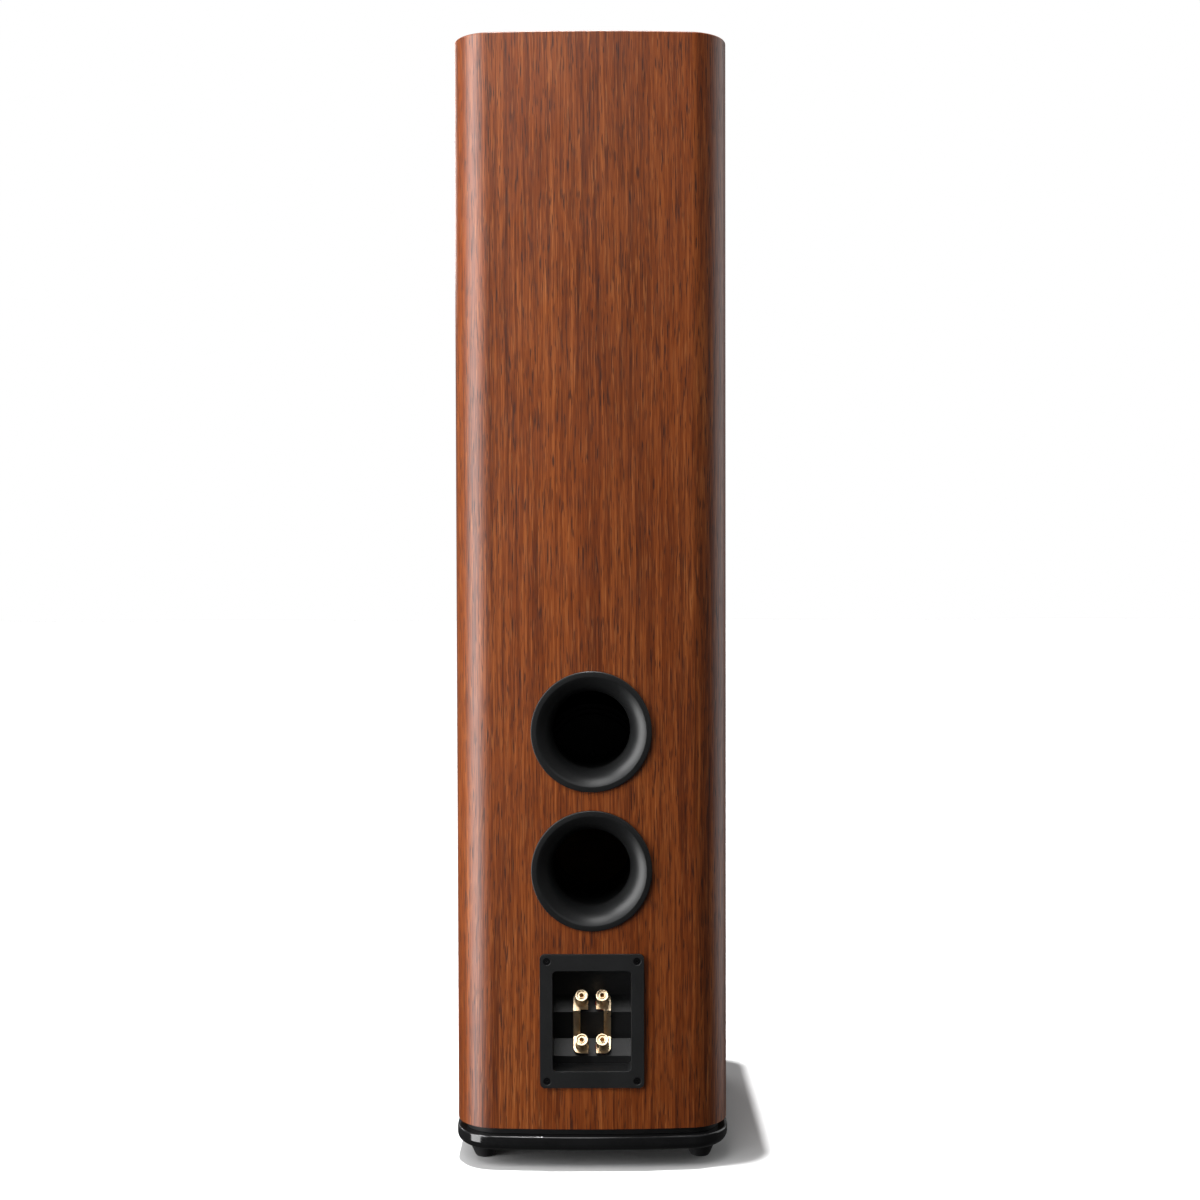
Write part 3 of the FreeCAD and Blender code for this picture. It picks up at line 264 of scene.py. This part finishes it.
SLOT_OF = {
    "veneer_wrap": "walnut_veneer", "left_side_panel": "board_core",
    "right_side_panel": "board_core", "rear_panel": "board_core", "front_baffle": "board_core",
    "top_panel": "board_core", "bottom_panel": "board_core", "window_braces": "board_core",
    "damping_felt": "felt", "plinth": "gloss_black_base", "plinth_neck": "matte_black_base",
    "foot_inserts": "insert_brass", "upper_port_flare": "port_black",
    "lower_port_flare": "port_black", "port_tubes": "port_black",
    "terminal_cup": "terminal_black", "cup_screws": "black_screws",
    "binding_posts": "gold_plate", "red_collars": "red_insulator",
    "black_collars": "black_insulator", "rear_post_nuts": "zinc_steel",
    "jumper_red": "gold_plate", "jumper_black": "gold_plate", "woofer_motors": "motor_steel",
    "woofer_spiders": "spider_cloth", "tweeter_waveguide": "waveguide_black",
    "tweeter_diaphragm": "diaphragm_film", "tweeter_motor": "motor_steel",
    "driver_screws": "black_screws", "crossover_board": "circuit_board",
    "crossover_inductors": "copper_wire", "crossover_capacitors": "capacitor_sleeve",
    "internal_leads": "lead_jacket",
}
for woofer in WOOFERS:
    SLOT_OF[f"{woofer}_woofer_basket"] = "cast_frame"
    SLOT_OF[f"{woofer}_woofer_surround"] = "surround_rubber"
    SLOT_OF[f"{woofer}_woofer_cone"] = "cone_composite"
    SLOT_OF[f"{woofer}_woofer_voice_coil"] = "copper_wire"
for level in LEVELS:
    for pole in POLES:
        SLOT_OF[f"clamp_washer_{level}_{pole}"] = "gold_plate"
        SLOT_OF[f"thumb_nut_{level}_{pole}"] = "gold_plate"
for node_name in frame["nodes"]:
    if node_name.startswith("foot_") and node_name != "foot_inserts":
        SLOT_OF[node_name] = "foot_finish"

for node_name, thing in frame["nodes"].items():
    thing.data.materials.clear()
    thing.data.materials.append(FINISH[SLOT_OF[node_name]])


# ---------------------------------------------------------------------------------------------
# Mesh tools
# ---------------------------------------------------------------------------------------------
def shade(work, angle=32):
    """Smooth shading that breaks at edges sharper than angle degrees."""
    for face in work.faces:
        face.smooth = True
    for edge in work.edges:
        edge.smooth = edge.calc_face_angle(0) < math.radians(angle)


def piece(name, work, slot, body, stands_for=(), materials=None):
    """The mesh in work as a piece of the object, riding on a body."""
    mesh = bpy.data.meshes.new(name)
    work.to_mesh(mesh)
    work.free()
    thing = bpy.data.objects.new(name, mesh)
    bpy.context.scene.collection.objects.link(thing)
    for material in materials or [FINISH[slot]]:
        mesh.materials.append(material)
    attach(thing, body)
    if stands_for:
        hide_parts(*stands_for)
    return thing


def rounded_edges(thing, width, segments=2, angle=30):
    bevel = thing.modifiers.new("rounded_edges", "BEVEL")
    bevel.width = width * MM
    bevel.segments = segments
    bevel.limit_method = "ANGLE"
    bevel.angle_limit = math.radians(angle)
    bevel.harden_normals = True
    weighted = thing.modifiers.new("even_shading", "WEIGHTED_NORMAL")
    weighted.keep_sharp = True
    return thing


def reworked(node, width, segments=2):
    """A copy of a CAD node with its flat faces made whole and its edges rounded."""
    mesh = frame["nodes"][node].data.copy()
    if mesh.attributes.get("custom_normal"):
        mesh.attributes.remove(mesh.attributes["custom_normal"])
    work = bmesh.new()
    work.from_mesh(mesh)
    bpy.data.meshes.remove(mesh)
    bmesh.ops.remove_doubles(work, verts=work.verts, dist=2e-6)
    bmesh.ops.dissolve_limit(work, angle_limit=math.radians(0.4), verts=work.verts,
                             edges=work.edges)
    shade(work)
    return rounded_edges(piece(f"{node}_finished", work, SLOT_OF[node], BODY_OF[node], [node]),
                         width, segments)


def arc(centre, radius, start, end, steps):
    """Points of an arc, from start to end in degrees."""
    angles = [math.radians(start + (end - start) * step / steps) for step in range(steps + 1)]
    return [(centre[0] + radius * math.cos(angle), centre[1] + radius * math.sin(angle))
            for angle in angles]


def eased(corners, steps=4):
    """A closed outline whose corners (u, v, radius) are rounded. A corner may leave its radius
    out."""
    spots = [(Vector(corner[:2]), corner[2] if len(corner) > 2 else 0) for corner in corners]
    points = []
    for number, (here, radius) in enumerate(spots):
        before, after = spots[number - 1][0] - here, spots[(number + 1) % len(spots)][0] - here
        if radius <= 0:
            points.append(here)
            continue
        half = before.angle(after) / 2
        reach = min(radius / math.tan(half), before.length * 0.48, after.length * 0.48)
        radius = reach * math.tan(half)
        before.normalize()
        after.normalize()
        centre = here + (before + after).normalized() * (radius / math.sin(half))
        first, last = here + before * reach - centre, here + after * reach - centre
        sweep = first.angle(last)
        points += [centre + (first * math.sin((1 - part) * sweep) + last * math.sin(part * sweep))
                   / math.sin(sweep) for part in (step / steps for step in range(steps + 1))]
    return points


def turn(work, outline, origin, axis, segments=96):
    """Turns a closed outline of (radius, along) millimetres about an axis."""
    axis = Vector(axis).normalized()
    across = axis.orthogonal().normalized()
    other = axis.cross(across)
    rings = []
    for radius, along in outline:
        if radius < 1e-6:
            rings.append([work.verts.new(origin + axis * along * MM)])
            continue
        ring = []
        for step in range(segments):
            angle = 2 * math.pi * step / segments
            ring.append(work.verts.new(origin + (axis * along + across * radius * math.cos(angle)
                                                 + other * radius * math.sin(angle)) * MM))
        rings.append(ring)
    for ring, following in zip(rings, rings[1:] + rings[:1]):
        for step in range(segments):
            corners = []
            for loop, at in ((ring, step), (ring, step + 1), (following, step + 1),
                             (following, step)):
                vert = loop[at % len(loop)]
                if vert not in corners:
                    corners.append(vert)
            if len(corners) > 2:
                work.faces.new(corners)
    bmesh.ops.recalc_face_normals(work, faces=work.faces)


def turned(name, outline, origin, axis, slot, body, stands_for=(), segments=96):
    work = bmesh.new()
    turn(work, outline, origin, axis, segments)
    shade(work)
    return piece(name, work, slot, body, stands_for)


def centre_of(node):
    low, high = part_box(node)
    return (low + high) / 2


# ---------------------------------------------------------------------------------------------
# Cabinet skin
# ---------------------------------------------------------------------------------------------
WRAP_LOW, WRAP_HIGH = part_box("veneer_wrap")
HALF, FRONT_Y, REAR_Y = WRAP_HIGH.x, WRAP_LOW.y, WRAP_HIGH.y
SMALL, LARGE, BOW = 0.027, 0.038, 1.100
REACH = math.sqrt((BOW - LARGE) ** 2 - (HALF - LARGE) ** 2)
CORNER_Y = REAR_Y - BOW + REACH
BOW_START = math.atan2(REACH, HALF - LARGE)
FACE_REAR_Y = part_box("terminal_cup")[1].y


def plan():
    """The cabinet's plan as (x, y, outward normal) points, anticlockwise from the front."""
    parts = [((HALF - SMALL, FRONT_Y + SMALL), SMALL, -90, 0, 16),
             ((HALF - LARGE, CORNER_Y), LARGE, 0, math.degrees(BOW_START), 24),
             ((0, REAR_Y - BOW), BOW, math.degrees(BOW_START), 180 - math.degrees(BOW_START), 28),
             ((LARGE - HALF, CORNER_Y), LARGE, 180 - math.degrees(BOW_START), 180, 24),
             ((SMALL - HALF, FRONT_Y + SMALL), SMALL, 180, 270, 16)]
    points = []
    for centre, radius, start, end, steps in parts:
        for x, y in arc(centre, radius, start, end, steps):
            out = Vector((x - centre[0], y - centre[1])).normalized()
            if not points or (points[-1][0] - Vector((x, y))).length > 1e-6:
                points.append((Vector((x, y)), out))
    return points


def plan_normal(x, y):
    """The outward direction of the plan outline nearest to a point on it."""
    side = math.copysign(1, x)
    if y <= FRONT_Y + SMALL:
        if abs(x) <= HALF - SMALL:
            return Vector((0, -1, 0))
        return Vector((x - side * (HALF - SMALL), y - FRONT_Y - SMALL, 0)).normalized()
    if y <= CORNER_Y:
        return Vector((side, 0, 0))
    about = Vector((abs(x) - (HALF - LARGE), y - CORNER_Y, 0))
    if about.x > 0 and math.atan2(about.y, about.x) < BOW_START:
        return Vector((side * about.x, about.y, 0)).normalized()
    return Vector((x, y - REAR_Y + BOW, 0)).normalized()


def loft(work, levels, cap_material=0):
    """A closed skin through levels of (inset, z), capped at both ends."""
    outline = plan()
    rings = [[work.verts.new((*(point - out * inset), z)) for point, out in outline]
             for inset, z in levels]
    count = len(outline)
    for ring, following in zip(rings, rings[1:]):
        for step in range(count):
            work.faces.new((ring[step], ring[(step + 1) % count],
                            following[(step + 1) % count], following[step]))
    caps = [work.faces.new(rings[0]), work.faces.new(rings[-1])]
    for cap in caps:
        cap.material_index = cap_material
    return caps


def bar_along_y(work, outline, x, z, low, high):
    """A prism of an (across, up) outline in metres, from y = low to y = high."""
    rings = [[work.verts.new((x + point[0], y, z + point[1])) for point in outline]
             for y in (low, high)]
    count = len(outline)
    for step in range(count):
        work.faces.new((rings[0][step], rings[0][(step + 1) % count],
                        rings[1][(step + 1) % count], rings[1][step]))
    work.faces.new(rings[0])
    work.faces.new(rings[1])


def rounded_box(width, height, radius, steps=10):
    half_x, half_z = width / 2 - radius, height / 2 - radius
    points = []
    for (x, z), start in (((half_x, -half_z), -90), ((half_x, half_z), 0),
                          ((-half_x, half_z), 90), ((-half_x, -half_z), 180)):
        points += arc((x, z), radius, start, start + 90, steps)
    return points


def make_veneer():
    """The wrap with its eased edges. The top is a leaf of its own, its grain turned."""
    skin, ease, foot = 0.0008, 0.0014, 0.0003
    top, bottom = WRAP_HIGH.z, WRAP_LOW.z
    levels = [(skin, top - skin), (skin, bottom), (foot, bottom), (foot * 0.3, bottom + foot * 0.3),
              (0, bottom + foot)]
    levels += [(ease * (1 - math.cos(angle)), top - ease * (1 - math.sin(angle)))
               for angle in (math.pi / 2 * step / 6 for step in range(7))]
    work = bmesh.new()
    caps = loft(work, levels)
    caps[1].material_index = 1
    bmesh.ops.recalc_face_normals(work, faces=work.faces)
    wrap = piece("veneer_wrap_finished", work, "walnut_veneer", "cabinet", ["veneer_wrap"],
                 [FINISH["walnut_veneer"], WALNUT_TOP])

    tools = bmesh.new()
    gap = 0.00018
    for name in ("upper_port_flare", "lower_port_flare"):
        low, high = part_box(name)
        spot = (low + high) / 2
        bar_along_y(tools, arc((0, 0), (high.x - low.x) / 2 + gap, 0, 357.5, 143), spot.x, spot.z,
                    REAR_Y - 0.02, REAR_Y + 0.02)
    low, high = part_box("terminal_cup")
    bar_along_y(tools, rounded_box(high.x - low.x + 2 * gap, high.z - low.z + 2 * gap, 0.0046),
                0, (low.z + high.z) / 2, REAR_Y - 0.02, REAR_Y + 0.02)
    for name in [f"{woofer}_woofer_basket" for woofer in WOOFERS] + ["tweeter_waveguide"]:
        low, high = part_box(name)
        bar_along_y(tools, arc((0, 0), (high.x - low.x) / 2 + gap, 0, 357.5, 143), 0,
                    (low.z + high.z) / 2, FRONT_Y - 0.02, FRONT_Y + 0.02)
    bmesh.ops.recalc_face_normals(tools, faces=tools.faces)
    mesh = bpy.data.meshes.new("openings")
    tools.to_mesh(mesh)
    tools.free()
    cutter = bpy.data.objects.new("openings", mesh)
    bpy.context.scene.collection.objects.link(cutter)
    cut = wrap.modifiers.new("openings", "BOOLEAN")
    cut.operation = "DIFFERENCE"
    cut.solver = "EXACT"
    cut.object = cutter
    graph = bpy.context.evaluated_depsgraph_get()
    result = bpy.data.meshes.new_from_object(wrap.evaluated_get(graph))
    wrap.modifiers.clear()
    old = wrap.data
    wrap.data = result
    bpy.data.meshes.remove(old)
    bpy.data.objects.remove(cutter)
    bpy.data.meshes.remove(mesh)
    set_wrap_normals(result, ease, top)


def set_wrap_normals(mesh, ease, top):
    """True normals for the wrap, so its wide faces shade evenly up to every opening."""
    normals = [Vector()] * len(mesh.loops)
    for face in mesh.polygons:
        face.use_smooth = True
        for loop in face.loop_indices:
            point = mesh.vertices[mesh.loops[loop].vertex_index].co
            want = plan_normal(point.x, point.y)
            if face.normal.z > 0.1 and point.z > top - ease - 1e-5:
                rise = min(max((point.z - (top - ease)) / ease, 0), 1)
                want = want * math.sqrt(1 - rise * rise) + Vector((0, 0, rise))
            normals[loop] = want if want.dot(face.normal) > 0.8 else face.normal.copy()
    mesh.normals_split_custom_set(normals)


make_veneer()


# ---------------------------------------------------------------------------------------------
# Ports
# ---------------------------------------------------------------------------------------------
FLARE_THROAT, FLARE_RADIUS, FLARE_LENGTH = 36, 23.2, 21.5
FLARE_WALL, FLANGE, RIM, SLEEVE_END = 3, 4, 55.4, 28.5


def make_port(node):
    """A trumpet that narrows from the mouth at the flange to a straight throat."""
    spot = centre_of(node)
    centre = (FLARE_THROAT + FLARE_RADIUS, FLARE_LENGTH)
    skin = FLARE_RADIUS - FLARE_WALL
    mouth = math.degrees(math.asin(FLARE_LENGTH / FLARE_RADIUS))
    skirt = math.degrees(math.asin((FLARE_LENGTH - FLANGE) / skin))
    inner = arc(centre, FLARE_RADIUS, 180, 180 + mouth, 22)
    outer = arc(centre, skin, 180 + skirt, 180, 12)
    ring = [(*inner[-1], 0.5), (RIM, 0, 0.7), (RIM, FLANGE, 0.2)]
    throat = [(FLARE_THROAT + FLARE_WALL, SLEEVE_END, 0.3), (FLARE_THROAT, SLEEVE_END, 0.3)]
    outline = eased([*ring, *outer, *throat, *inner[:-1]])
    turned(f"{node}_finished", outline, Vector((spot.x, FACE_REAR_Y, spot.z)), (0, -1, 0),
           "port_black", "cabinet", [node], segments=144)


make_port("upper_port_flare")
make_port("lower_port_flare")


# ---------------------------------------------------------------------------------------------
# Terminals
# ---------------------------------------------------------------------------------------------
HINGE_OUT = 12 * MM


def post(level, pole):
    """The point where a post leaves its ledge, and the post's axis."""
    joint = JOINTS[f"nut_turn_{level}_{pole}"]
    axis = Vector(joint["axis"]).normalized()
    return Vector(joint["pos_m"]) - axis * HINGE_OUT, axis


def make_terminals():
    studs = bmesh.new()
    collars = {pole: bmesh.new() for pole in POLES}
    for level in LEVELS:
        for pole in POLES:
            base, axis = post(level, pole)
            tag = f"{level}_{pole}"
            turn(studs, eased([(0, -14), (3, -14, 0.5), (3, 19.6, 0.35), (2, 19.6, 0.25),
                               (2, 4.6), (0, 4.6)]), base, axis, 48)
            turn(collars[pole], eased([(3.05, 0), (6.5, 0), (6.5, 3, 0.7), (3.05, 3, 0.1)]),
                 base, axis, 64)
            turned(f"washer_{tag}", eased([(3.3, 4.3, 0.1), (6.2, 4.3, 0.3), (6.2, 5.3, 0.35),
                                           (3.3, 5.3, 0.1)]),
                   base, axis, "gold_plate", f"washer_{tag}", [f"clamp_washer_{tag}"], 72)
            nut = [(3.08, 5.35), (5.9, 5.35, 0.3), (5.9, 6.75, 0.45), (5.3, 7.35, 0.4),
                   (5.3, 17.5, 0.5), (5.9, 18.2, 0.5), (5.9, 20, 0.55), (4.4, 20, 0.35),
                   (4.4, 18.4, 0.2), (3.08, 18.4)]
            turned(f"nut_{tag}", eased(nut), base, axis, "gold_plate", f"nut_{tag}",
                   [f"thumb_nut_{tag}"], 120)
    shade(studs)
    piece("posts_finished", studs, "gold_plate", "cabinet", ["binding_posts"])
    for pole in POLES:
        shade(collars[pole])
        piece(f"{pole}_collars_finished", collars[pole], f"{pole}_insulator", "cabinet",
              [f"{pole}_collars"])


make_terminals()
reworked("terminal_cup", 0.45, 3)
reworked("cup_screws", 0.12)
reworked("jumper_red", 0.3, 3)
reworked("jumper_black", 0.3, 3)
reworked("plinth", 0.25, 2)
reworked("plinth_neck", 0.4, 2)
reworked("driver_screws", 0.15, 2)
reworked("tweeter_waveguide", 0.5, 3)
for woofer in WOOFERS:
    reworked(f"{woofer}_woofer_basket", 0.4, 3)
for node_name in list(frame["nodes"]):
    if node_name.startswith("foot_") and node_name != "foot_inserts":
        reworked(node_name, 0.5, 3)


# ---------------------------------------------------------------------------------------------
# Stage, light and camera
# ---------------------------------------------------------------------------------------------
def make_floor():
    mesh = bpy.data.meshes.new("floor")
    size = 14
    mesh.from_pydata([(-size, -size, 0), (size, -size, 0), (size, size, 0), (-size, size, 0)],
                     [], [(0, 1, 2, 3)])
    floor = bpy.data.objects.new("floor", mesh)
    bpy.context.scene.collection.objects.link(floor)
    s = Shader("pale_floor")
    tone = s.ramp(s.noise(900, detail=1), [(0.3, (0.66, 0.66, 0.66)), (0.7, (0.68, 0.68, 0.68))])
    mesh.materials.append(s.finish(Base_Color=tone, Roughness=0.9, Specular_IOR_Level=0.0))
    floor.visible_diffuse = False
    floor.visible_glossy = False


def softbox(name, place, target, width, height, glow):
    """A rectangular lamp that faces a point. glow is what the lamp's face shines with."""
    lamp = bpy.data.lights.new(name, "AREA")
    lamp.shape = "RECTANGLE"
    lamp.size, lamp.size_y = width, height
    lamp.energy = glow * math.pi * width * height
    thing = bpy.data.objects.new(name, lamp)
    bpy.context.scene.collection.objects.link(thing)
    thing.location = place
    thing.rotation_mode = "QUATERNION"
    thing.rotation_quaternion = (Vector(target) - Vector(place)).to_track_quat("-Z", "Y")
    thing.visible_camera = False
    return thing


# name: (place, point it faces, width, height, glow)
SOFTBOXES = {
    "side_strip": ((1.36, 0.72, 0.75), (0.0, 0.12, 0.62), 0.80, 2.8, 5.6),
    "side_fill": ((1.30, 1.22, 0.80), (0.0, 0.14, 0.55), 0.9, 2.6, 1.7),
    "high_front": ((0.40, 1.40, 2.30), (0.0, 0.16, 0.35), 1.0, 1.0, 6.0),
    "far_side": ((-1.25, -0.35, 0.8), (0.0, 0.05, 0.6), 1.1, 2.4, 0.9),
    "drivers": ((0.9, -2.0, 1.7), (0.0, -0.1, 0.55), 1.0, 1.0, 5.0),
}
SUN_STRENGTH, SUN_WIDTH = 4.8, 0.8
SUN_DIRECTION = (-0.040, -0.010, -1)
# The world's strength: (from, to, strength there, strength here) along each direction.
WORLD_BY_Y = (-0.35, 0.55, 0.18, 0.12)
WORLD_BY_Z = (-0.30, 0.20, 0.25, 1.0)


def make_light():
    for name, settings in SOFTBOXES.items():
        softbox(name, *settings)
    sun = bpy.data.lights.new("overhead", "SUN")
    sun.energy = SUN_STRENGTH
    sun.angle = math.radians(SUN_WIDTH)
    above = bpy.data.objects.new("overhead", sun)
    bpy.context.scene.collection.objects.link(above)
    above.rotation_mode = "QUATERNION"
    above.rotation_quaternion = Vector(SUN_DIRECTION).to_track_quat("-Z", "Y")


def make_world():
    """A dim world, graded by direction, behind a plain white backdrop for the camera."""
    world = bpy.data.worlds.new("studio")
    world.use_nodes = True
    tree = world.node_tree
    tree.nodes.clear()
    add, link = tree.nodes.new, tree.links.new

    def graded(along, limits):
        made = add("ShaderNodeMapRange")
        for key, value in zip(("From Min", "From Max", "To Min", "To Max"), limits):
            made.inputs[key].default_value = value
        link(along, made.inputs["Value"])
        return made.outputs[0]

    parts = add("ShaderNodeSeparateXYZ")
    link(add("ShaderNodeTexCoord").outputs["Generated"], parts.inputs[0])
    strength = add("ShaderNodeMath")
    strength.operation = "MULTIPLY"
    link(graded(parts.outputs["Y"], WORLD_BY_Y), strength.inputs[0])
    link(graded(parts.outputs["Z"], WORLD_BY_Z), strength.inputs[1])
    lit = add("ShaderNodeBackground")
    link(strength.outputs[0], lit.inputs["Strength"])
    plain = add("ShaderNodeBackground")
    plain.inputs["Strength"].default_value = 1.0
    plain.inputs["Color"].default_value = (1, 1, 1, 1)
    choose = add("ShaderNodeMixShader")
    link(add("ShaderNodeLightPath").outputs["Is Camera Ray"], choose.inputs[0])
    link(lit.outputs[0], choose.inputs[1])
    link(plain.outputs[0], choose.inputs[2])
    link(choose.outputs[0], add("ShaderNodeOutputWorld").inputs["Surface"])
    bpy.context.scene.world = world


CAMERA_PLACE = (-0.0083, 1.663, 0.560)
CAMERA_DOWN, CAMERA_ROLL = 1.33, -0.14


def make_camera():
    lens = bpy.data.cameras.new("camera")
    lens.lens = 49.35
    lens.sensor_width = 36
    lens.clip_start, lens.clip_end = 0.05, 60
    camera = bpy.data.objects.new("camera", lens)
    bpy.context.scene.collection.objects.link(camera)
    tilt = Matrix.Rotation(math.radians(90 - CAMERA_DOWN), 4, "X")
    facing = Matrix.Rotation(math.pi, 4, "Z")
    roll = Matrix.Rotation(math.radians(CAMERA_ROLL), 4, "Z")
    camera.matrix_world = Matrix.Translation(CAMERA_PLACE) @ facing @ tilt @ roll
    bpy.context.scene.camera = camera


make_floor()
make_light()
make_world()
make_camera()
bpy.context.scene.view_settings.view_transform = "Standard"
